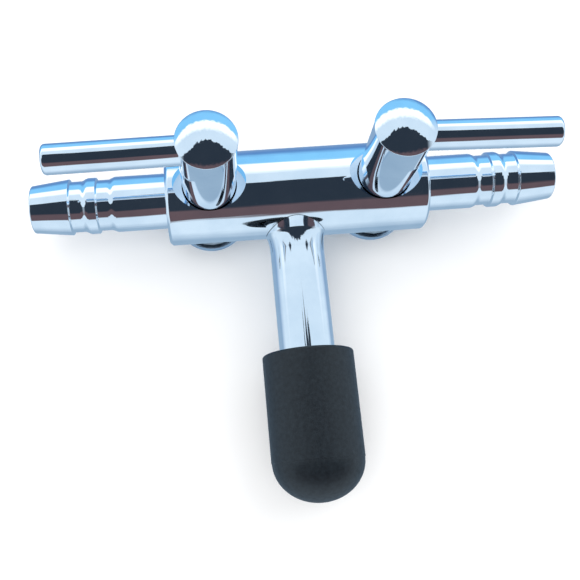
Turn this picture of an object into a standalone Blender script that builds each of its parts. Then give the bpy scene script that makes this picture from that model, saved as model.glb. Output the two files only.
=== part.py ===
"""Air line manifold with one inlet and two valved outlets, as an assembly of separate pieces.

Lengths are in metres. X runs along the body from outlet to outlet, -Y runs out along the
inlet tube, and +Z runs up the valve stems. The origin is under the middle of the assembly,
level with the lowest point, the undersides of the two retaining screws.
"""

import math

import bmesh
import bpy
from mathutils import Matrix

MM = 0.001
GAP = 0.05 * MM  # between pieces that touch, and around pieces that turn or slide
SEAM_MERGE = 0.001 * MM  # joins the two ends of a full turn
WELD_DISTANCE = 0.0001 * MM

# Body: a horizontal bar with a bore from end to end
BODY_RADIUS = 4.0 * MM
BODY_HALF_LENGTH = 11.4 * MM
BODY_CHAMFER = 0.25 * MM
BODY_BORE_RADIUS = 1.3 * MM
BODY_SEGMENTS = 40

# Hose barbs, pressed into seats in the ends of the body
BARB_REACH = 11.8 * MM  # from the body's end face to the tip
BARB_RADIUS = 2.48 * MM
BARB_SHANK_RADIUS = 2.45 * MM
BARB_NECK_RADIUS = 2.24 * MM
BARB_TIP_RADIUS = 2.1 * MM
BARB_TIP_EDGE = 0.15 * MM
BARB_BORE_RADIUS = 1.25 * MM
BARB_SPIGOT_RADIUS = 1.95 * MM
BARB_SPIGOT_LENGTH = 1.3 * MM
RIDGE_PLACES = (3.35 * MM, 5.7 * MM)  # from the tip
RIDGE_STEP = 0.12 * MM
NECK_LENGTH = 0.9 * MM
NECK_RISE = 0.65 * MM

# Inlet tube, brazed into the middle of the body
TUBE_RADIUS = 2.35 * MM
TUBE_REACH = 22.6 * MM  # from the body's axis to the tip
INLET_X = -0.3 * MM  # the tube stands a little to the left of the middle
TUBE_SPIGOT_RADIUS = 1.9 * MM
TUBE_SPIGOT_DEPTH = 1.9 * MM  # how far from the body's axis the spigot stops
BRAZE_FOOT_RADIUS = 2.68 * MM
BRAZE_LENGTH = 5.6 * MM  # from the body's axis to where the fillet has run out
BRAZE_CURVE_SHARE = 0.93  # of the fillet's thickness, which leaves it a thin outer edge
BRAZE_ARC_DEG = 75
BRAZE_ARC_STEPS = 5

# Rubber cap over the inlet tube
CAP_RADIUS = 3.88 * MM
CAP_BORE_RADIUS = 2.55 * MM
CAP_RIM = 14.65 * MM  # these three are distances from the body's axis
CAP_SEAM = 23.55 * MM
CAP_END = 26.9 * MM
CAP_FLOOR = 23.3 * MM
CAP_EDGE = 0.2 * MM
CAP_SEAM_STEP = 0.04 * MM
CAP_FLOOR_EDGE = 0.6 * MM

# Valves: heights are above the body's axis
VALVE_SPACING = 7.6 * MM  # from the middle of the body to each valve's axis
LEVER_TURNS_DEG = {"left": 180.3, "right": -2.0}  # where each lever is set, from +X
PLUG_RADIUS = 2.1 * MM
PORT_RADIUS = 1.2 * MM
STEM_FOOT_RADIUS = 2.29 * MM
STEM_TOP_RADIUS = 2.38 * MM
KNOB_RADIUS = 2.43 * MM
KNOB_RIM = 12.25 * MM  # height of the sharp edge where the stem meets the dome
KNOB_RIM_EDGE = 0.08 * MM
DOME_RISE = 0.9 * MM  # from the rim to the top
COUNTERSINK_RADIUS = 3.15 * MM  # at the top of the body, its sides at 45 degrees
FOOT_CLEARANCE = 1.5 * GAP  # upwards, which is about one gap square to the 45 degree sides
LOWER_SPOT_FACE = 3.4 * MM
LOWER_SPOT_RADIUS = 3.5 * MM
GROOVE_PLACE = 2.3 * MM
GROOVE_WIDTH = 0.8 * MM
GROOVE_FLOOR_RADIUS = 1.45 * MM
SEAL_SECTION_RADIUS = 0.31 * MM
LEVER_RADIUS = 1.2 * MM
LEVER_HEIGHT = 10.6 * MM
LEVER_REACH = 12.55 * MM
LEVER_INSERTION = 0.9 * MM  # past the valve's axis
LEVER_EDGE = 0.3 * MM

# Under the body: flat washer, wave spring and retaining screw
WASHER_RADIUS = 3.15 * MM
WASHER_THICKNESS = 0.4 * MM
SPRING_RADIUS = 3.0 * MM
SPRING_THICKNESS = 0.18 * MM
SPRING_WAVES = 3
PLUG_END = 4.5 * MM  # below the body's axis
SCREW_HEAD_RADIUS = 3.3 * MM
SCREW_LOWEST = 5.5 * MM  # below the body's axis
SCREW_HEAD_EDGE = 0.25 * MM
SCREW_SHANK_RADIUS = 0.75 * MM
SCREW_SHANK_TOP = 1.95 * MM  # below the body's axis
SCREW_SLOT_WIDTH = 0.7 * MM
SCREW_SLOT_DEPTH = 0.4 * MM

ROUND_SEGMENTS = 24
SEAL_SEGMENTS = 20
SEAL_SECTION_POINTS = 8
OVERSHOOT = 1.0 * MM  # how far a cutter runs past what it cuts

# The body's axis, from the origin under the middle of the assembly
AXIS_HEIGHT = SCREW_LOWEST
AXIS_Y = (CAP_END - BODY_RADIUS) / 2

TURN_X = Matrix.Rotation(math.pi / 2, 4, "Y")  # carries +Z to +X
TURN_MINUS_X = Matrix.Rotation(-math.pi / 2, 4, "Y")
TURN_MINUS_Y = Matrix.Rotation(math.pi / 2, 4, "X")


def clear_scene():
    for old in list(bpy.data.objects):
        bpy.data.objects.remove(old, do_unlink=True)


def new_collection(name):
    collection = bpy.data.collections.new(name)
    bpy.context.scene.collection.children.link(collection)
    return collection


def body_place(x=0.0, y=0.0, z=0.0):
    """A place counted from the middle of the body's axis."""
    return Matrix.Translation((x, AXIS_Y + y, AXIS_HEIGHT + z))


def new_object(name, mesh, collection, place):
    made = bpy.data.objects.new(name, mesh)
    collection.objects.link(made)
    made.matrix_world = place
    return made


def mesh_from(name, bm):
    bmesh.ops.recalc_face_normals(bm, faces=bm.faces)
    mesh = bpy.data.meshes.new(name)
    bm.to_mesh(mesh)
    bm.free()
    mesh.shade_smooth()
    mesh.set_sharp_from_angle(angle=math.radians(30))
    return mesh


def turned(name, outline, place, collection, segments=ROUND_SEGMENTS):
    """A solid turned about local Z from (radius, height) points, top to bottom down its outer side.

    An outline that starts and ends off the axis is closed into a ring.
    """
    bm = bmesh.new()
    points = [bm.verts.new((radius, 0, height)) for radius, height in outline]
    for upper, lower in zip(points, points[1:]):
        bm.edges.new((upper, lower))
    if outline[0][0] > 0:
        bm.edges.new((points[-1], points[0]))
    profile = bpy.data.meshes.new(name + "_profile")
    bm.to_mesh(profile)
    bm.free()
    lathe = new_object(name + "_lathe", profile, collection, Matrix())
    screw = lathe.modifiers.new("Turn", "SCREW")
    screw.steps = segments
    screw.render_steps = segments
    screw.use_merge_vertices = True
    screw.merge_threshold = SEAM_MERGE
    return new_object(name, welded_mesh(name, lathe), collection, place)


def welded_mesh(name, source):
    """The evaluated mesh of an object, its seams joined, with the object removed."""
    graph = bpy.context.evaluated_depsgraph_get()
    evaluated = bpy.data.meshes.new_from_object(source.evaluated_get(graph))
    bm = bmesh.new()
    bm.from_mesh(evaluated)
    bmesh.ops.remove_doubles(bm, verts=bm.verts, dist=WELD_DISTANCE)
    bpy.data.objects.remove(source, do_unlink=True)
    return mesh_from(name, bm)


def frustum(name, low_radius, high_radius, low, high, place, collection, segments=ROUND_SEGMENTS):
    """A cone along local Z from low to high, cut off flat at both ends."""
    bm = bmesh.new()
    bmesh.ops.create_cone(
        bm, cap_ends=True, segments=segments, radius1=low_radius, radius2=high_radius,
        depth=high - low, matrix=Matrix.Translation((0, 0, (low + high) / 2)),
    )
    return new_object(name, mesh_from(name, bm), collection, place)


def cylinder(name, radius, low, high, place, collection, segments=ROUND_SEGMENTS):
    return frustum(name, radius, radius, low, high, place, collection, segments)


def box(name, size, centre, place, collection):
    bm = bmesh.new()
    scale = Matrix.Diagonal((*size, 1))
    bmesh.ops.create_cube(bm, size=1, matrix=Matrix.Translation(centre) @ scale)
    return new_object(name, mesh_from(name, bm), collection, place)


def as_cutter(cutter):
    cutter.hide_render = True
    cutter.display_type = "WIRE"
    return cutter


def subtract(piece, *cutters):
    for cutter in cutters:
        cut = piece.modifiers.new("Cut " + cutter.name, "BOOLEAN")
        cut.operation = "DIFFERENCE"
        cut.solver = "EXACT"
        cut.object = as_cutter(cutter)


def finish(piece, colour, roughness, metallic):
    """Gives a piece its own material."""
    made = bpy.data.materials.new(piece.name + "_material")
    made.use_nodes = True
    shader = made.node_tree.nodes["Principled BSDF"]
    shader.inputs["Base Color"].default_value = (*colour, 1)
    shader.inputs["Roughness"].default_value = roughness
    shader.inputs["Metallic"].default_value = metallic
    piece.data.materials.append(made)


def chromed(piece):
    finish(piece, (0.80, 0.84, 0.88), 0.06, 1.0)


def rubber(piece):
    finish(piece, (0.018, 0.022, 0.032), 0.5, 0.0)


def steel(piece):
    finish(piece, (0.56, 0.57, 0.58), 0.3, 1.0)


def arc(centre_radius, centre_height, size_r, size_h, start_deg, end_deg, steps):
    """Points of an elliptical arc as (radius, height), at equal angles."""
    points = []
    for step in range(steps + 1):
        angle = math.radians(start_deg + (end_deg - start_deg) * step / steps)
        radius = centre_radius + size_r * math.cos(angle)
        points.append((max(radius, 0.0), centre_height + size_h * math.sin(angle)))
    return points


def neck(ridge, radius_after):
    """From a ridge's edge, a step down to a narrow neck and a rise to what comes after it."""
    neck_start = ridge - RIDGE_STEP
    neck_end = neck_start - NECK_LENGTH
    rise = radius_after - BARB_NECK_RADIUS
    return [
        (BARB_RADIUS, ridge), (BARB_NECK_RADIUS, neck_start), (BARB_NECK_RADIUS, neck_end),
        (BARB_NECK_RADIUS + rise / 2, neck_end - NECK_RISE / 2), (radius_after, neck_end - NECK_RISE),
    ]


def barb_outline(tip, shank_radius):
    """The outer side of a hose barb, from its tip face down to where the plain shank begins."""
    edge = BARB_TIP_EDGE
    outline = arc(BARB_TIP_RADIUS - edge, tip - edge, edge, edge, 90, 0, 2)
    first, second = (tip - place for place in RIDGE_PLACES)
    return outline + neck(first, BARB_RADIUS) + neck(second, shank_radius)


def build_body(parts, cutters):
    seat_radius = BARB_SPIGOT_RADIUS + GAP
    seat_floor = BODY_HALF_LENGTH - BARB_SPIGOT_LENGTH - 2 * GAP
    inner = BODY_RADIUS - BODY_CHAMFER
    edge = BODY_HALF_LENGTH - BODY_CHAMFER
    outline = [
        (inner, BODY_HALF_LENGTH), (BODY_RADIUS, edge),
        (BODY_RADIUS, -edge), (inner, -BODY_HALF_LENGTH),
        (seat_radius, -BODY_HALF_LENGTH), (seat_radius, -seat_floor),
        (BODY_BORE_RADIUS, -seat_floor), (BODY_BORE_RADIUS, seat_floor),
        (seat_radius, seat_floor), (seat_radius, BODY_HALF_LENGTH),
    ]
    body = turned("body", outline, body_place() @ TURN_X, parts, BODY_SEGMENTS)
    past = BODY_RADIUS + OVERSHOOT
    for side, x in (("left", -VALVE_SPACING), ("right", VALVE_SPACING)):
        place = body_place(x)
        subtract(
            body,
            cylinder(side + "_plug_bore", PLUG_RADIUS + GAP, -past, past, place, cutters),
            frustum(side + "_countersink", COUNTERSINK_RADIUS - OVERSHOOT,
                    COUNTERSINK_RADIUS + OVERSHOOT, BODY_RADIUS - OVERSHOOT, past, place, cutters),
            cylinder(side + "_lower_spot_face", LOWER_SPOT_RADIUS, -past, -LOWER_SPOT_FACE,
                     place, cutters),
        )
    seat_depth = TUBE_SPIGOT_DEPTH - 2 * GAP
    place = body_place(INLET_X) @ TURN_MINUS_Y
    subtract(
        body,
        cylinder("inlet_seat", TUBE_SPIGOT_RADIUS + GAP, seat_depth, past, place, cutters),
    )
    chromed(body)


def build_barb(side, turn, parts):
    """A hose tail: a spigot in the body's end, a plain shank and two ridges."""
    face = BODY_HALF_LENGTH + GAP
    tip = BODY_HALF_LENGTH + BARB_REACH
    inner_end = BODY_HALF_LENGTH - BARB_SPIGOT_LENGTH
    outline = [(BARB_BORE_RADIUS, tip)] + barb_outline(tip, BARB_SHANK_RADIUS)
    outline += [
        (BARB_SHANK_RADIUS, face), (BARB_SPIGOT_RADIUS, face),
        (BARB_SPIGOT_RADIUS, inner_end), (BARB_BORE_RADIUS, inner_end),
    ]
    chromed(turned(side + "_hose_barb", outline, body_place() @ turn, parts))


def body_saddle(name, hole_radius, cutters):
    """The body's round side with a hole down its inlet side, to cope the inlet pieces with."""
    saddle = cylinder(
        name, BODY_RADIUS + GAP, -BODY_HALF_LENGTH, BODY_HALF_LENGTH,
        body_place() @ TURN_X, cutters, BODY_SEGMENTS,
    )
    place = body_place(INLET_X) @ TURN_MINUS_Y
    hole = cylinder(name + "_hole", hole_radius, 0, 2 * BODY_RADIUS, place, cutters)
    subtract(saddle, hole)
    return saddle


def build_inlet_tube(parts, cutters):
    """A tube with a spigot in the body, a coped shoulder on its round side and a barbed end."""
    outline = [(BARB_BORE_RADIUS, TUBE_REACH)] + barb_outline(TUBE_REACH, TUBE_RADIUS)
    outline += [(TUBE_RADIUS, TUBE_SPIGOT_DEPTH), (BARB_BORE_RADIUS, TUBE_SPIGOT_DEPTH)]
    tube = turned("inlet_tube", outline, body_place(INLET_X) @ TURN_MINUS_Y, parts)
    subtract(tube, body_saddle("tube_saddle", TUBE_SPIGOT_RADIUS, cutters))
    chromed(tube)


def build_braze(parts, cutters):
    """The fillet of braze metal round the foot of the inlet tube, following the body's side."""
    bore = TUBE_RADIUS + GAP
    rise = BRAZE_LENGTH - BODY_RADIUS
    run = BRAZE_FOOT_RADIUS - bore
    outline = arc(bore + run, BRAZE_LENGTH, -run * BRAZE_CURVE_SHARE, -rise,
                  0, BRAZE_ARC_DEG, BRAZE_ARC_STEPS)
    lowest = TUBE_SPIGOT_DEPTH
    outline = [(bore, BRAZE_LENGTH)] + outline
    outline += [(BRAZE_FOOT_RADIUS, lowest), (bore, lowest)]
    braze = turned("inlet_braze_fillet", outline, body_place(INLET_X) @ TURN_MINUS_Y, parts)
    subtract(braze, body_saddle("braze_saddle", TUBE_SPIGOT_RADIUS, cutters))
    chromed(braze)


def build_cap(parts):
    """A moulded rubber cap: a straight sleeve with a blind bore and a slightly flattened dome."""
    dome = arc(0, CAP_SEAM, CAP_RADIUS - CAP_SEAM_STEP, CAP_END - CAP_SEAM, 90, 0, 9)
    outline = dome + [
        (CAP_RADIUS, CAP_SEAM - CAP_SEAM_STEP), (CAP_RADIUS, CAP_RIM + CAP_EDGE),
        (CAP_RADIUS - CAP_EDGE, CAP_RIM), (CAP_BORE_RADIUS, CAP_RIM),
        (CAP_BORE_RADIUS, CAP_FLOOR - CAP_FLOOR_EDGE),
        (CAP_BORE_RADIUS - CAP_FLOOR_EDGE, CAP_FLOOR), (0, CAP_FLOOR),
    ]
    rubber(turned("inlet_cap", outline, body_place(INLET_X) @ TURN_MINUS_Y, parts))


def groove(height):
    """A seal groove in the plug's side, top to bottom."""
    half = GROOVE_WIDTH / 2
    return [
        (PLUG_RADIUS, height + half), (GROOVE_FLOOR_RADIUS, height + half),
        (GROOVE_FLOOR_RADIUS, height - half), (PLUG_RADIUS, height - half),
    ]


def build_plug(side, place, parts, cutters):
    """The turned plug, its stem and its low domed knob, in one piece.

    The stem's foot is bevelled to sit in the countersink.
    """
    dome_radius = (KNOB_RADIUS**2 + DOME_RISE**2) / (2 * DOME_RISE)
    dome_centre = KNOB_RIM + DOME_RISE - dome_radius
    rim_deg = math.degrees(math.asin((KNOB_RIM - dome_centre) / dome_radius))
    foot = BODY_RADIUS - COUNTERSINK_RADIUS + STEM_FOOT_RADIUS + FOOT_CLEARANCE
    outline = arc(0, dome_centre, dome_radius, dome_radius, 90, rim_deg, 5)
    outline += [(KNOB_RADIUS, KNOB_RIM - KNOB_RIM_EDGE), (STEM_TOP_RADIUS, KNOB_RIM - 2 * KNOB_RIM_EDGE)]
    outline += [(STEM_FOOT_RADIUS, foot), (PLUG_RADIUS, foot - STEM_FOOT_RADIUS + PLUG_RADIUS)]
    outline += groove(GROOVE_PLACE) + groove(-GROOVE_PLACE)
    outline += [(PLUG_RADIUS, -PLUG_END), (0, -PLUG_END)]
    plug = turned(side + "_plug", outline, place, parts)
    past = PLUG_RADIUS + OVERSHOOT
    lever_place = place @ Matrix.Translation((0, 0, LEVER_HEIGHT)) @ TURN_X
    inner_end = -LEVER_INSERTION - GAP
    thread_top = -SCREW_SHANK_TOP + 2 * GAP
    subtract(
        plug,
        cylinder(side + "_port", PORT_RADIUS, -past, past, place @ TURN_X, cutters),
        cylinder(side + "_lever_hole", LEVER_RADIUS + GAP, inner_end, past, lever_place, cutters),
        cylinder(side + "_screw_hole", SCREW_SHANK_RADIUS + GAP, -PLUG_END - OVERSHOOT,
                 thread_top, place, cutters),
    )
    chromed(plug)
    return plug


def build_lever(side, place, parts):
    """A plain rod with a rounded outer end, pressed into a blind cross hole in the knob."""
    core = LEVER_RADIUS - LEVER_EDGE
    outline = [(0, LEVER_REACH)]
    outline += arc(core, LEVER_REACH - LEVER_EDGE, LEVER_EDGE, LEVER_EDGE, 90, 0, 3)
    outline += [(LEVER_RADIUS, -LEVER_INSERTION), (0, -LEVER_INSERTION)]
    lever_place = place @ Matrix.Translation((0, 0, LEVER_HEIGHT)) @ TURN_X
    lever = turned(side + "_lever", outline, lever_place, parts)
    chromed(lever)
    return lever


def build_seal(name, height, place, parts):
    """A rubber ring in a groove of the plug."""
    ring_radius = GROOVE_FLOOR_RADIUS + GAP + SEAL_SECTION_RADIUS
    circle = arc(ring_radius, height, SEAL_SECTION_RADIUS, SEAL_SECTION_RADIUS,
                 180, -180, SEAL_SECTION_POINTS)
    seal = turned(name, circle[:-1], place, parts, SEAL_SEGMENTS)
    rubber(seal)
    return seal


def ring(name, outer, inner, top, bottom, place, parts):
    outline = [(outer, top), (outer, bottom), (inner, bottom), (inner, top)]
    return turned(name, outline, place, parts)


def build_wave_spring(side, place, parts):
    """A thin ring bent into waves, squeezed between the washer and the screw's head."""
    highest = -LOWER_SPOT_FACE - GAP - WASHER_THICKNESS - GAP
    lowest = -PLUG_END
    middle = (highest + lowest) / 2
    wave_height = (highest - lowest - SPRING_THICKNESS) / 2
    half = SPRING_THICKNESS / 2
    spring = ring(side + "_wave_spring", SPRING_RADIUS, PLUG_RADIUS + 2 * GAP,
                  middle + half, middle - half, place, parts)
    for vertex in spring.data.vertices:
        angle = math.atan2(vertex.co.y, vertex.co.x)
        vertex.co.z += wave_height * math.sin(SPRING_WAVES * angle)
    steel(spring)
    return spring


def build_screw(side, place, parts, cutters):
    """The retaining screw: a wide slotted head under the body and a shank up into the plug."""
    head_top = -PLUG_END - GAP
    edge = SCREW_HEAD_EDGE
    outline = [
        (0, -SCREW_SHANK_TOP), (SCREW_SHANK_RADIUS, -SCREW_SHANK_TOP),
        (SCREW_SHANK_RADIUS, head_top), (SCREW_HEAD_RADIUS, head_top),
        (SCREW_HEAD_RADIUS, -SCREW_LOWEST + edge),
        (SCREW_HEAD_RADIUS - edge, -SCREW_LOWEST), (0, -SCREW_LOWEST),
    ]
    screw = turned(side + "_retaining_screw", outline, place, parts)
    slot_size = (2 * SCREW_HEAD_RADIUS + OVERSHOOT, SCREW_SLOT_WIDTH, 2 * SCREW_SLOT_DEPTH)
    subtract(screw, box(side + "_screw_slot", slot_size, (0, 0, -SCREW_LOWEST), place, cutters))
    chromed(screw)
    return screw


def build_valve(side, x, parts, cutters):
    """One plug cock. Its pieces hang from an empty on the axis that they turn about."""
    place = body_place(x) @ Matrix.Rotation(math.radians(LEVER_TURNS_DEG[side]), 4, "Z")
    axis = new_object(side + "_valve_axis", None, parts, place)
    washer_top = -LOWER_SPOT_FACE - GAP
    washer = ring(side + "_flat_washer", WASHER_RADIUS, PLUG_RADIUS + 2 * GAP,
                  washer_top, washer_top - WASHER_THICKNESS, place, parts)
    steel(washer)
    pieces = [
        build_plug(side, place, parts, cutters),
        build_lever(side, place, parts),
        build_seal(side + "_upper_seal", GROOVE_PLACE, place, parts),
        build_seal(side + "_lower_seal", -GROOVE_PLACE, place, parts),
        washer,
        build_wave_spring(side, place, parts),
        build_screw(side, place, parts, cutters),
    ]
    bpy.context.view_layer.update()
    for piece in pieces:
        piece.parent = axis
        piece.matrix_parent_inverse = axis.matrix_world.inverted()


def main():
    clear_scene()
    parts = new_collection("three_way_valve")
    cutters = new_collection("cutters")
    build_body(parts, cutters)
    build_barb("left", TURN_MINUS_X, parts)
    build_barb("right", TURN_X, parts)
    build_inlet_tube(parts, cutters)
    build_braze(parts, cutters)
    build_cap(parts)
    build_valve("left", -VALVE_SPACING, parts, cutters)
    build_valve("right", VALVE_SPACING, parts, cutters)


main()
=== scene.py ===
"""Looks for the air line manifold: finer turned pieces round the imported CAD, materials, light, camera."""
import math

import bmesh
import bpy
from mathutils import Matrix, Vector


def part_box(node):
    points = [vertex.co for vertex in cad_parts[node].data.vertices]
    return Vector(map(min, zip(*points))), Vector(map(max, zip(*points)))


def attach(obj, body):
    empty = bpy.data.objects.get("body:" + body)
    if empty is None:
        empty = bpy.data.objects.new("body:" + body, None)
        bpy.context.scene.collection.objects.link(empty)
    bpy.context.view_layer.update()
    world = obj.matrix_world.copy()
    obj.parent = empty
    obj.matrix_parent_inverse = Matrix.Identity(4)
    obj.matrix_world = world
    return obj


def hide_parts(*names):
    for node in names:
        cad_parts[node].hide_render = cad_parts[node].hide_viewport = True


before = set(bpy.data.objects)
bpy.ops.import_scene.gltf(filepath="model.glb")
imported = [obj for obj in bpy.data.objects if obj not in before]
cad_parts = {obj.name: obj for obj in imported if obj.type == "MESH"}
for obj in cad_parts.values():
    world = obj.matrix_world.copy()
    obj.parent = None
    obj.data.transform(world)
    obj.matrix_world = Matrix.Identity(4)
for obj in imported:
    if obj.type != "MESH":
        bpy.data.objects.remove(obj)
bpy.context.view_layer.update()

MM = 0.001
GAP = 0.05 * MM
SOFT_EDGE = 0.07 * MM
FINE_EDGE = 0.05 * MM  # on the barbs, the tube and the screws
THIN_EDGE = 0.04 * MM  # on the knobs and the levers
SEGMENTS = 96
BODY_SEGMENTS = 192
CORNER_DEG = 25  # a turn sharper than this is softened
CREASE_DEG = 32  # an edge sharper than this stays crisp in the shading


# ---- places, from the CAD -------------------------------------------------

def middle(node):
    low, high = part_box(node)
    return (low + high) / 2


body_low, body_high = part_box("body")
BODY_RADIUS = (body_high.z - body_low.z) / 2
HALF_LENGTH = (body_high.x - body_low.x) / 2
AXIS = (body_low + body_high) / 2
INLET_X = middle("inlet_cap").x
CAP_END = AXIS.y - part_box("inlet_cap")[0].y
CAP_RIM = AXIS.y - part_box("inlet_cap")[1].y
TUBE_REACH = AXIS.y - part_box("inlet_tube")[0].y
BARB_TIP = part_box("right_hose_barb")[1].x - AXIS.x
KNOB_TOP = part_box("left_plug")[1].z - AXIS.z
SCREW_LOWEST = AXIS.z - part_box("left_retaining_screw")[0].z
VALVE_X = {side: middle(side + "_retaining_screw").x for side in ("left", "right")}

TURN_X = Matrix.Rotation(math.pi / 2, 4, "Y")
TURN_MINUS_X = Matrix.Rotation(-math.pi / 2, 4, "Y")
TURN_MINUS_Y = Matrix.Rotation(math.pi / 2, 4, "X")


def place(x=0.0):
    return Matrix.Translation((x, AXIS.y, AXIS.z))


# ---- mesh tools -------------------------------------------------------------

def arc(centre_r, centre_h, size_r, size_h, start, end, steps):
    points = []
    for step in range(steps + 1):
        angle = math.radians(start + (end - start) * step / steps)
        radius = max(centre_r + size_r * math.cos(angle), 0.0)
        points.append((radius, centre_h + size_h * math.sin(angle)))
    return points


def softened(outline, size=SOFT_EDGE, closed=False):
    """The outline with each sharp corner cut back to a small curve, always on the inside of the corner."""
    points = [Vector(p) for p in outline]
    count = len(points)
    made = []
    for i, here in enumerate(points):
        if not closed and i in (0, count - 1):
            made.append(here)
            continue
        before, after = points[i - 1] - here, points[(i + 1) % count] - here
        if math.pi - before.angle(after, math.pi) < math.radians(CORNER_DEG):
            made.append(here)
            continue
        start = here + before.normalized() * min(size, before.length * 0.4)
        end = here + after.normalized() * min(size, after.length * 0.4)
        for t in (0, 0.25, 0.5, 0.75, 1):
            made.append(start * (1 - t) ** 2 + here * 2 * t * (1 - t) + end * t * t)
    return [(p.x, p.y) for p in made]


def divided(outline, longest):
    """The outline with its long straight runs split, so that reflections follow the surface evenly."""
    made = [outline[0]]
    for a, b in zip(outline, outline[1:]):
        parts = max(1, math.ceil(math.dist(a, b) / longest))
        for k in range(1, parts + 1):
            made.append((a[0] + (b[0] - a[0]) * k / parts, a[1] + (b[1] - a[1]) * k / parts))
    return made


def lathe(name, outline, matrix, segments=SEGMENTS, closed=False):
    """A surface turned about local Z, with its mesh written in the row frame."""
    bm = bmesh.new()
    rings = []
    for radius, height in outline:
        if radius < 1e-8:
            rings.append([bm.verts.new((0, 0, height))])
            continue
        rings.append([
            bm.verts.new((radius * math.cos(2 * math.pi * k / segments),
                          radius * math.sin(2 * math.pi * k / segments), height))
            for k in range(segments)
        ])
    pairs = list(zip(rings, rings[1:]))
    if closed:
        pairs.append((rings[-1], rings[0]))
    for one, two in pairs:
        for k in range(segments):
            n = (k + 1) % segments
            if len(one) == 1 and len(two) == 1:
                break
            if len(one) == 1:
                bm.faces.new((one[0], two[k], two[n]))
            elif len(two) == 1:
                bm.faces.new((one[k], two[0], one[n]))
            else:
                bm.faces.new((one[k], two[k], two[n], one[n]))
    bmesh.ops.recalc_face_normals(bm, faces=bm.faces)
    mesh = bpy.data.meshes.new(name)
    bm.to_mesh(mesh)
    bm.free()
    mesh.transform(matrix)
    made = bpy.data.objects.new(name, mesh)
    bpy.context.scene.collection.objects.link(made)
    return made


def cut(piece, cutters):
    """The piece less its cutters, as a plain mesh, with the cutters gone."""
    for cutter in cutters:
        modifier = piece.modifiers.new("cut", "BOOLEAN")
        modifier.operation, modifier.solver, modifier.object = "DIFFERENCE", "EXACT", cutter
    graph = bpy.context.evaluated_depsgraph_get()
    made = bpy.data.meshes.new_from_object(piece.evaluated_get(graph))
    piece.modifiers.clear()
    piece.data = made
    for cutter in cutters:
        bpy.data.objects.remove(cutter, do_unlink=True)
    return piece


def smooth(piece, matrix):
    """Smooth shading with crisp edges.

    Faces of the turned side keep the true round normal where a hole cuts them.
    """
    mesh = piece.data
    mesh.shade_smooth()
    mesh.set_sharp_from_angle(angle=math.radians(CREASE_DEG))
    centre, axis = matrix.translation, (matrix.to_3x3() @ Vector((0, 0, 1))).normalized()
    normals = [Vector(n.vector) for n in mesh.corner_normals]
    for face in mesh.polygons:
        out = face.center - centre
        out = (out - axis * out.dot(axis)).normalized()
        along, radial = face.normal.dot(axis), face.normal.dot(out)
        across = (face.normal - axis * along - out * radial).length
        if abs(along) > 0.2 or radial < 0.9 or across > 0.05:
            continue
        for loop in face.loop_indices:
            side = mesh.vertices[mesh.loops[loop].vertex_index].co - centre
            side = (side - axis * side.dot(axis)).normalized()
            normals[loop] = (side * math.sqrt(1 - along * along) + axis * along).normalized()
    mesh.normals_split_custom_set([tuple(n) for n in normals])
    return piece


# ---- materials --------------------------------------------------------------

def shader_for(name):
    material = bpy.data.materials.new(name)
    material.use_nodes = True
    tree = material.node_tree
    return material, tree, tree.nodes["Principled BSDF"]


def noise(tree, scale, detail=3.0):
    place_at = tree.nodes.new("ShaderNodeTexCoord").outputs["Object"]
    node = tree.nodes.new("ShaderNodeTexNoise")
    node.inputs["Scale"].default_value = scale
    node.inputs["Detail"].default_value = detail
    tree.links.new(place_at, node.inputs["Vector"])
    return node.outputs["Fac"]


def ramp(tree, value, stops):
    node = tree.nodes.new("ShaderNodeValToRGB")
    while len(node.color_ramp.elements) < len(stops):
        node.color_ramp.elements.new(0.5)
    for element, (at, colour) in zip(node.color_ramp.elements, stops):
        element.position, element.color = at, (*colour, 1)
    tree.links.new(value, node.inputs["Fac"])
    return node.outputs["Color"]


def spread(tree, value, low, high):
    node = tree.nodes.new("ShaderNodeMapRange")
    node.inputs["From Min"].default_value, node.inputs["From Max"].default_value = 0.3, 0.7
    node.inputs["To Min"].default_value, node.inputs["To Max"].default_value = low, high
    tree.links.new(value, node.inputs["Value"])
    return node.outputs["Result"]


def bump(tree, shader, heights):
    """Stacks height fields, each given as (value, strength, depth)."""
    before = None
    for value, strength, depth in heights:
        node = tree.nodes.new("ShaderNodeBump")
        node.inputs["Strength"].default_value = strength
        node.inputs["Distance"].default_value = depth
        tree.links.new(value, node.inputs["Height"])
        if before:
            tree.links.new(before, node.inputs["Normal"])
        before = node.outputs["Normal"]
    tree.links.new(before, shader.inputs["Normal"])


def metal(name, dark, light, rough, wave):
    material, tree, shader = shader_for(name)
    shader.inputs["Metallic"].default_value = 1.0
    colour = ramp(tree, noise(tree, 350), [(0.35, dark), (0.65, light)])
    tree.links.new(colour, shader.inputs["Base Color"])
    tree.links.new(spread(tree, noise(tree, 900, 4), *rough), shader.inputs["Roughness"])
    bump(tree, shader, [(noise(tree, 320, 1), 0.25, wave), (noise(tree, 5000, 2), 0.05, wave)])
    return material


def elastic(name, dark, light, rough, grain):
    material, tree, shader = shader_for(name)
    colour = ramp(tree, noise(tree, 3200, 6), [(0.3, dark), (0.7, light)])
    tree.links.new(colour, shader.inputs["Base Color"])
    tree.links.new(spread(tree, noise(tree, 2600, 4), *rough), shader.inputs["Roughness"])
    shader.inputs["Specular IOR Level"].default_value = 0.45
    bump(tree, shader, [(noise(tree, 900, 3), 0.12, grain), (noise(tree, 6000, 2), 0.5, grain)])
    return material


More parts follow.
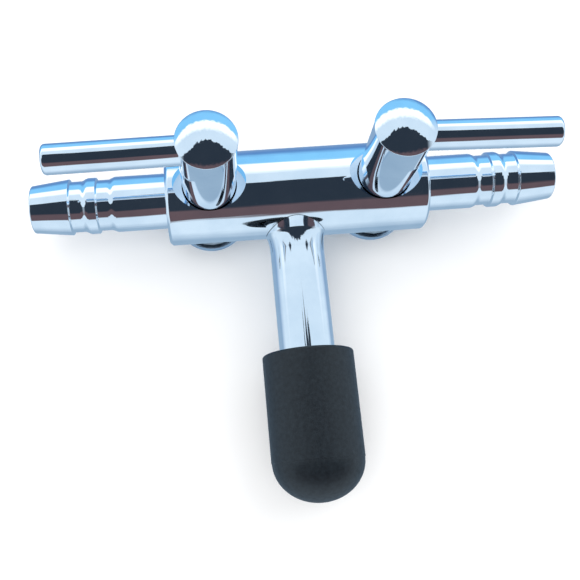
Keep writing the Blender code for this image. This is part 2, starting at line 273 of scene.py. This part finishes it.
CHROME = metal("bright_chrome", (0.80, 0.86, 0.92), (0.90, 0.94, 0.98), (0.025, 0.07), 0.004 * MM)
STEEL = metal("spring_steel", (0.42, 0.43, 0.44), (0.60, 0.61, 0.62), (0.22, 0.38), 0.008 * MM)
# painted shade: the screws' metal is darker and bluer than the chrome, standing in for the shade the low
# screw heads sit in near the floor
SHADED_SCREW_METAL = metal("screw_metal_painted_shade", (0.44, 0.54, 0.66), (0.56, 0.68, 0.80), (0.14, 0.26), 0.006 * MM)
CAP_RUBBER = elastic("cap_rubber", (0.0045, 0.0075, 0.011), (0.010, 0.016, 0.022), (0.38, 0.5), 0.015 * MM)
SEAL_RUBBER = elastic("seal_rubber", (0.008, 0.008, 0.008), (0.020, 0.020, 0.020), (0.3, 0.45), 0.01 * MM)


def install(piece, material, body, node):
    piece.data.materials.clear()
    piece.data.materials.append(material)
    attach(piece, body)
    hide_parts(node)


# ---- the manifold -----------------------------------------------------------

BORE = 1.3 * MM
SEAT = 2.0 * MM
SEAT_FLOOR = HALF_LENGTH - 1.4 * MM
PLUG_BORE = 2.15 * MM
COUNTERSINK = 3.15 * MM
OVERSHOOT = 1.0 * MM  # how far a cutter runs past what it cuts
PAST = BODY_RADIUS + OVERSHOOT
LOWER_SPOT_FACE = 3.4 * MM
LOWER_SPOT_RADIUS = 3.5 * MM
TUBE_RADIUS = 2.35 * MM
TUBE_SPIGOT = 1.9 * MM
TUBE_SPIGOT_DEPTH = 1.9 * MM  # how far from the body's axis the spigot stops
TAIL_BORE = 1.25 * MM
TAIL_RIDGE = 2.48 * MM
TAIL_NECK = 2.24 * MM
TAIL_TIP = 2.1 * MM
SHANK = 2.45 * MM
BARB_SPIGOT = 1.95 * MM
BARB_SPIGOT_LENGTH = 1.3 * MM


def build_body():
    chamfer = 0.25 * MM
    inner, edge = BODY_RADIUS - chamfer, HALF_LENGTH - chamfer
    outline = [
        (inner, HALF_LENGTH), (BODY_RADIUS, edge), (BODY_RADIUS, -edge), (inner, -HALF_LENGTH),
        (SEAT, -HALF_LENGTH), (SEAT, -SEAT_FLOOR), (BORE, -SEAT_FLOOR),
        (BORE, SEAT_FLOOR), (SEAT, SEAT_FLOOR), (SEAT, HALF_LENGTH),
    ]
    turn = place() @ TURN_X
    body = lathe("body_shell", softened(outline, closed=True), turn, BODY_SEGMENTS, closed=True)
    cutters = []
    for side in ("left", "right"):
        at = place(VALVE_X[side])
        # plug bore, countersink and lower spot face as one turned cutter
        profile = [
            (0, PAST), (COUNTERSINK + OVERSHOOT, PAST),
            (PLUG_BORE, BODY_RADIUS - COUNTERSINK + PLUG_BORE), (PLUG_BORE, -LOWER_SPOT_FACE),
            (LOWER_SPOT_RADIUS, -LOWER_SPOT_FACE), (LOWER_SPOT_RADIUS, -PAST), (0, -PAST),
        ]
        cutters.append(lathe(side + "_cutter", profile, at))
    seat_radius, seat_depth = TUBE_SPIGOT + GAP, TUBE_SPIGOT_DEPTH - 2 * GAP
    seat = [(0, PAST), (seat_radius, PAST), (seat_radius, seat_depth), (0, seat_depth)]
    cutters.append(lathe("seat_cutter", seat, place(INLET_X) @ TURN_MINUS_Y))
    install(smooth(cut(body, cutters), turn), CHROME, "manifold", "body")


def neck(ridge, after):
    """From a ridge's edge, a step down to a narrow neck and a smooth rise to what comes after it."""
    step_down, length, rise, steps = 0.12 * MM, 0.9 * MM, 0.65 * MM, 6
    foot = ridge - step_down
    end = foot - length
    outline = [(TAIL_RIDGE, ridge), (TAIL_NECK, foot), (TAIL_NECK, end)]
    for step in range(1, steps + 1):
        t = step / steps
        outline.append((TAIL_NECK + (after - TAIL_NECK) * t * t * (3 - 2 * t), end - rise * t))
    return outline


def tail(tip, after):
    """The outer side of a hose tail, from its tip face down to where the plain shank begins."""
    edge, first, second = 0.15 * MM, 3.35 * MM, 5.7 * MM
    outline = arc(TAIL_TIP - edge, tip - edge, edge, edge, 90, 0, 6)
    return outline + neck(tip - first, TAIL_RIDGE) + neck(tip - second, after)


def build_barb(side, turn):
    face = HALF_LENGTH + GAP
    inner_end = HALF_LENGTH - BARB_SPIGOT_LENGTH
    outline = [(TAIL_BORE, BARB_TIP)] + tail(BARB_TIP, SHANK)
    outline += [(SHANK, face), (BARB_SPIGOT, face), (BARB_SPIGOT, inner_end), (TAIL_BORE, inner_end)]
    barb = lathe(side + "_barb", softened(outline, FINE_EDGE, True), place() @ turn, closed=True)
    install(smooth(barb, place() @ turn), CHROME, "manifold", side + "_hose_barb")


def saddle(name):
    """What lies inside the body's round side, apart from the inlet's spigot."""
    radius, long, far = BODY_RADIUS + GAP, HALF_LENGTH, 2 * BODY_RADIUS
    outline = [(0, long), (radius, long), (radius, -long), (0, -long)]
    made = lathe(name, outline, place() @ TURN_X, BODY_SEGMENTS)
    hole = [(0, far), (TUBE_SPIGOT, far), (TUBE_SPIGOT, 0), (0, 0)]
    return cut(made, [lathe(name + "_hole", hole, place(INLET_X) @ TURN_MINUS_Y)])


def build_tube():
    turn = place(INLET_X) @ TURN_MINUS_Y
    outline = [(TAIL_BORE, TUBE_REACH)] + tail(TUBE_REACH, TUBE_RADIUS)
    outline += [(TUBE_RADIUS, TUBE_SPIGOT_DEPTH), (TAIL_BORE, TUBE_SPIGOT_DEPTH)]
    tube = lathe("inlet_pipe", softened(outline, FINE_EDGE, True), turn, closed=True)
    tube = smooth(cut(tube, [saddle("tube_saddle")]), turn)
    install(tube, CHROME, "manifold", "inlet_tube")


def build_braze():
    """The fillet of braze metal, which runs out on the tube without a visible step."""
    turn = place(INLET_X) @ TURN_MINUS_Y
    foot, length, clearance, curve_share = 2.68 * MM, 5.6 * MM, 0.002 * MM, 0.985
    inside = TUBE_RADIUS + clearance
    run, rise = foot - inside, length - BODY_RADIUS
    outline = [(inside, length)] + arc(inside + run, length, -run * curve_share, -rise, 0, 75, 16)
    outline += [(foot, TUBE_SPIGOT_DEPTH), (inside, TUBE_SPIGOT_DEPTH)]
    braze = lathe("braze_fillet", outline, turn, closed=True)
    braze = smooth(cut(braze, [saddle("braze_saddle")]), turn)
    install(braze, CHROME, "manifold", "inlet_braze_fillet")


def build_cap():
    radius, seam, bore, floor = 3.88 * MM, 23.55 * MM, 2.55 * MM, 23.3 * MM
    step, edge, floor_edge, longest = 0.04 * MM, 0.2 * MM, 0.6 * MM, 0.9 * MM
    outline = arc(0, seam, radius - step, CAP_END - seam, 90, 0, 28)
    outline += [(radius, seam - step), (radius, CAP_RIM + edge)]
    outline += arc(radius - edge, CAP_RIM + edge, edge, edge, 0, -90, 6)[1:]
    outline += [(bore + edge, CAP_RIM), (bore, CAP_RIM + edge), (bore, floor - floor_edge)]
    outline += arc(bore - floor_edge, floor - floor_edge, floor_edge, floor_edge, 0, 90, 6)[1:]
    outline += [(0, floor)]
    turn = place(INLET_X) @ TURN_MINUS_Y
    cap = lathe("rubber_cap", divided(outline, longest), turn)
    install(smooth(cap, turn), CAP_RUBBER, "cap", "inlet_cap")


# ---- the valves -------------------------------------------------------------

LEVER_TURNS = {"left": 180.3, "right": -2.0}  # degrees from +X
LEVER_HEIGHT = 10.6 * MM
LEVER_RADIUS = 1.2 * MM
LEVER_INSERTION = 0.9 * MM  # past the valve's axis
PLUG_RADIUS = 2.1 * MM
PLUG_END = 4.5 * MM  # below the body's axis
GROOVE_PLACE = 2.3 * MM
GROOVE_FLOOR = 1.45 * MM
PORT_RADIUS = 1.2 * MM
SCREW_SHANK = 0.75 * MM
SCREW_SHANK_TOP = 1.95 * MM  # below the body's axis


def rod_cutter(name, radius, top, bottom, matrix):
    return lathe(name, [(0, top), (radius, top), (radius, bottom), (0, bottom)], matrix)


def build_plug(side, at):
    knob, rise, edge, stem_top, half_groove = 2.43 * MM, 0.9 * MM, 0.08 * MM, 2.38 * MM, 0.4 * MM
    rim = KNOB_TOP - rise
    dome_radius = (knob**2 + rise**2) / (2 * rise)
    centre = KNOB_TOP - dome_radius
    rim_angle = math.degrees(math.asin((rim - centre) / dome_radius))
    foot_radius = 2.29 * MM
    foot = BODY_RADIUS - COUNTERSINK + foot_radius + 1.5 * GAP
    outline = arc(0, centre, dome_radius, dome_radius, 90, rim_angle, 24)
    outline += [(knob, rim - edge), (stem_top, rim - 2 * edge), (foot_radius, foot)]
    outline += [(PLUG_RADIUS, foot - foot_radius + PLUG_RADIUS)]
    for height in (GROOVE_PLACE, -GROOVE_PLACE):
        upper, lower = height + half_groove, height - half_groove
        outline += [(PLUG_RADIUS, upper), (GROOVE_FLOOR, upper), (GROOVE_FLOOR, lower), (PLUG_RADIUS, lower)]
    outline += [(PLUG_RADIUS, -PLUG_END), (0, -PLUG_END)]
    plug = lathe(side + "_knob_and_plug", softened(outline, THIN_EDGE), at)
    past = PLUG_RADIUS + OVERSHOOT
    across = at @ Matrix.Translation((0, 0, LEVER_HEIGHT)) @ TURN_X
    cutters = [
        rod_cutter(side + "_port", PORT_RADIUS, past, -past, at @ TURN_X),
        rod_cutter(side + "_socket", LEVER_RADIUS + GAP, past, -LEVER_INSERTION - GAP, across),
        rod_cutter(side + "_tapped", SCREW_SHANK + GAP, 2 * GAP - SCREW_SHANK_TOP,
                   -PLUG_END - OVERSHOOT, at),
    ]
    install(smooth(cut(plug, cutters), at), CHROME, side + "_valve", side + "_plug")


def build_lever(side, at):
    reach, edge, longest = 12.55 * MM, 0.3 * MM, 1.5 * MM
    outline = [(0, reach)] + arc(LEVER_RADIUS - edge, reach - edge, edge, edge, 90, 0, 8)
    outline += [(LEVER_RADIUS, -LEVER_INSERTION), (0, -LEVER_INSERTION)]
    turn = at @ Matrix.Translation((0, 0, LEVER_HEIGHT)) @ TURN_X
    lever = lathe(side + "_rod", divided(softened(outline, THIN_EDGE), longest), turn)
    install(smooth(lever, turn), CHROME, side + "_valve", side + "_lever")


def build_screw(side, at):
    head_top, edge, head = -PLUG_END - GAP, 0.25 * MM, 3.3 * MM
    slot_length, slot_width, slot_depth = 7.6 * MM, 0.7 * MM, 0.4 * MM
    outline = [(0, -SCREW_SHANK_TOP), (SCREW_SHANK, -SCREW_SHANK_TOP)]
    outline += [(SCREW_SHANK, head_top), (head, head_top)]
    outline += arc(head - edge, -SCREW_LOWEST + edge, edge, edge, 0, -90, 6) + [(0, -SCREW_LOWEST)]
    screw = lathe(side + "_screw", softened(outline, FINE_EDGE), at)
    bm = bmesh.new()
    size = Matrix.Diagonal((slot_length, slot_width, 2 * slot_depth, 1))
    lowest = Matrix.Translation((0, 0, -SCREW_LOWEST))
    bmesh.ops.create_cube(bm, size=1, matrix=at @ lowest @ size)
    mesh = bpy.data.meshes.new(side + "_slot")
    bm.to_mesh(mesh)
    bm.free()
    slot = bpy.data.objects.new(side + "_slot", mesh)
    bpy.context.scene.collection.objects.link(slot)
    screw = smooth(cut(screw, [slot]), at)
    # the screws take the darker, bluer metal, whose colour is painted shade
    install(screw, SHADED_SCREW_METAL, side + "_valve", side + "_retaining_screw")


def build_valve(side):
    at = place(VALVE_X[side]) @ Matrix.Rotation(math.radians(LEVER_TURNS[side]), 4, "Z")
    build_plug(side, at)
    build_lever(side, at)
    build_screw(side, at)
    for node, material in (("upper_seal", SEAL_RUBBER), ("lower_seal", SEAL_RUBBER),
                           ("flat_washer", STEEL), ("wave_spring", STEEL)):
        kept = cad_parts[side + "_" + node]
        kept.data.materials.clear()
        kept.data.materials.append(material)


# ---- surroundings -----------------------------------------------------------

def build_world():
    """Soft pale light, and a studio that only mirror rays see, dark overhead with white and blue screens."""
    world = bpy.data.worlds.new("studio")
    bpy.context.scene.world = world
    world.use_nodes = True
    tree = world.node_tree
    tree.nodes.clear()
    jag_deg, dark_limit, dark_end, draw_in = 16.0, 102.5, 104.0, 45.0

    def math_node(operation, *values):
        node = tree.nodes.new("ShaderNodeMath")
        node.operation = operation
        for socket, value in zip(node.inputs, values):
            if isinstance(value, (int, float)):
                socket.default_value = value
            else:
                tree.links.new(value, socket)
        return node.outputs[0]

    def mixed(factor, one, two):
        node = tree.nodes.new("ShaderNodeMix")
        node.data_type = "RGBA"
        for socket, value in ((node.inputs[0], factor), (node.inputs[6], one), (node.inputs[7], two)):
            if isinstance(value, tuple):
                socket.default_value = (*value, 1)
            else:
                tree.links.new(value, socket)
        return node.outputs[2]

    direction = tree.nodes.new("ShaderNodeTexCoord").outputs["Generated"]
    axes = tree.nodes.new("ShaderNodeSeparateXYZ")
    tree.links.new(direction, axes.inputs[0])
    x, y, z = axes.outputs
    ragged = tree.nodes.new("ShaderNodeTexNoise")
    ragged.inputs["Scale"].default_value = 9.0
    ragged.inputs["Detail"].default_value = 2.0
    tree.links.new(direction, ragged.inputs["Vector"])
    # degrees from the horizon on the inlet side, up over the top
    angle = math_node("MULTIPLY", math_node("ARCTAN2", z, math_node("MULTIPLY", y, -1.0)), 180 / math.pi)
    jag = math_node("MULTIPLY", math_node("SUBTRACT", ragged.outputs["Fac"], 0.5), jag_deg)
    angle = math_node("ADD", angle, jag)
    turn = math_node("ADD", math_node("MULTIPLY", math_node("MINIMUM", angle, 179.9), 1 / 360), 0.5)

    def at(degrees):
        return degrees / 360 + 0.5

    blue, deep = (0.26, 0.66, 1.04), (0.12, 0.28, 0.60)
    white, pale, low = (1.3, 1.35, 1.4), (0.72, 0.87, 1.0), (0.33, 0.47, 0.62)
    black, brown = (0.026, 0.038, 0.056), (0.135, 0.092, 0.105)
    bands = ramp(tree, turn, [
        (at(-178), blue), (at(-160), deep), (at(-100), low), (at(-60), low), (at(-25), pale),
        (at(11), pale), (at(15), brown), (at(38), brown), (at(46), black), (at(101.5), black),
        (at(dark_end), pale), (at(124), pale), (at(136), white), (at(152), white), (at(157), blue),
    ])
    # the dark side is widest straight overhead and draws in to the left and right
    drawn_in = math_node("ADD", angle, math_node("MULTIPLY", math_node("MULTIPLY", x, x), draw_in))
    past_dark = math_node("MULTIPLY", math_node("GREATER_THAN", drawn_in, dark_limit),
                          math_node("LESS_THAN", angle, dark_end))
    bands = mixed(past_dark, bands, pale)
    wide = tree.nodes.new("ShaderNodeMapRange")
    wide.inputs["From Min"].default_value, wide.inputs["From Max"].default_value = 0.84, 0.97
    tree.links.new(math_node("ABSOLUTE", x), wide.inputs["Value"])
    mirrored = mixed(wide.outputs["Result"], bands, pale)
    # rough surfaces see soft light that is stronger from above and behind than from the inlet side
    behind = tree.nodes.new("ShaderNodeMapRange")
    behind.inputs["From Min"].default_value, behind.inputs["From Max"].default_value = -1.0, 0.6
    tree.links.new(y, behind.inputs["Value"])
    soft = mixed(behind.outputs["Result"], (0.62, 0.64, 0.66), (1.12, 1.12, 1.12))
    path = tree.nodes.new("ShaderNodeLightPath")
    background = tree.nodes.new("ShaderNodeBackground")
    seen = mixed(path.outputs["Is Glossy Ray"], soft, mirrored)
    tree.links.new(mixed(path.outputs["Is Camera Ray"], seen, (1.0, 1.0, 1.0)), background.inputs["Color"])
    output = tree.nodes.new("ShaderNodeOutputWorld")
    tree.links.new(background.outputs[0], output.inputs["Surface"])


def build_floor():
    bm = bmesh.new()
    bmesh.ops.create_grid(bm, x_segments=2, y_segments=2, size=1.5)
    mesh = bpy.data.meshes.new("floor")
    bm.to_mesh(mesh)
    bm.free()
    floor = bpy.data.objects.new("floor", mesh)
    bpy.context.scene.collection.objects.link(floor)
    material, tree, shader = shader_for("pale_floor")
    tree.links.new(ramp(tree, noise(tree, 60), [(0.4, (0.93, 0.93, 0.93)), (0.6, (0.96, 0.96, 0.96))]),
                   shader.inputs["Base Color"])
    shader.inputs["Roughness"].default_value = 0.9
    shader.inputs["Specular IOR Level"].default_value = 0.0
    floor.data.materials.append(material)
    floor.location.z = -0.02 * MM  # just clear of the screw heads, so that the two never share a plane
    floor.visible_glossy = False


def soft_light(name, where, size, power):
    lamp = bpy.data.lights.new(name, "AREA")
    lamp.size, lamp.energy = size, power
    made = bpy.data.objects.new(name, lamp)
    bpy.context.scene.collection.objects.link(made)
    made.location = where
    made.rotation_euler = (AXIS - Vector(where)).to_track_quat("-Z", "Y").to_euler()
    made.visible_glossy = False


def build_camera():
    azimuth, elevation, roll = (math.radians(d) for d in (-11.126, 74.032, 6.589))
    distance, aside, down = 72.865 * MM, -3.32 * MM, -7.083 * MM
    back = Vector((math.sin(azimuth) * math.cos(elevation), -math.cos(azimuth) * math.cos(elevation),
                   math.sin(elevation)))
    right = Vector((math.cos(azimuth), math.sin(azimuth), 0))
    up = back.cross(right)
    across = right * math.cos(roll) + up * math.sin(roll)
    upright = up * math.cos(roll) - right * math.sin(roll)
    lens = bpy.data.cameras.new("camera")
    lens.lens, lens.shift_x, lens.shift_y = 50.29, 0.0557, -0.0322
    lens.clip_start, lens.clip_end = 1 * MM, 10.0
    camera = bpy.data.objects.new("camera", lens)
    bpy.context.scene.collection.objects.link(camera)
    turn = Matrix((across, upright, back)).transposed().to_4x4()
    where = AXIS + back * distance + across * aside + upright * down
    camera.matrix_world = Matrix.Translation(where) @ turn
    bpy.context.scene.camera = camera


build_body()
build_barb("left", TURN_MINUS_X)
build_barb("right", TURN_X)
build_tube()
build_braze()
build_cap()
build_valve("left")
build_valve("right")
build_world()
build_floor()
soft_light("key", (-0.10, -0.06, 0.28), 0.25, 0.35)
soft_light("fill", (0.16, 0.12, 0.22), 0.25, 0.2)
build_camera()
bpy.context.scene.view_settings.view_transform = "Standard"
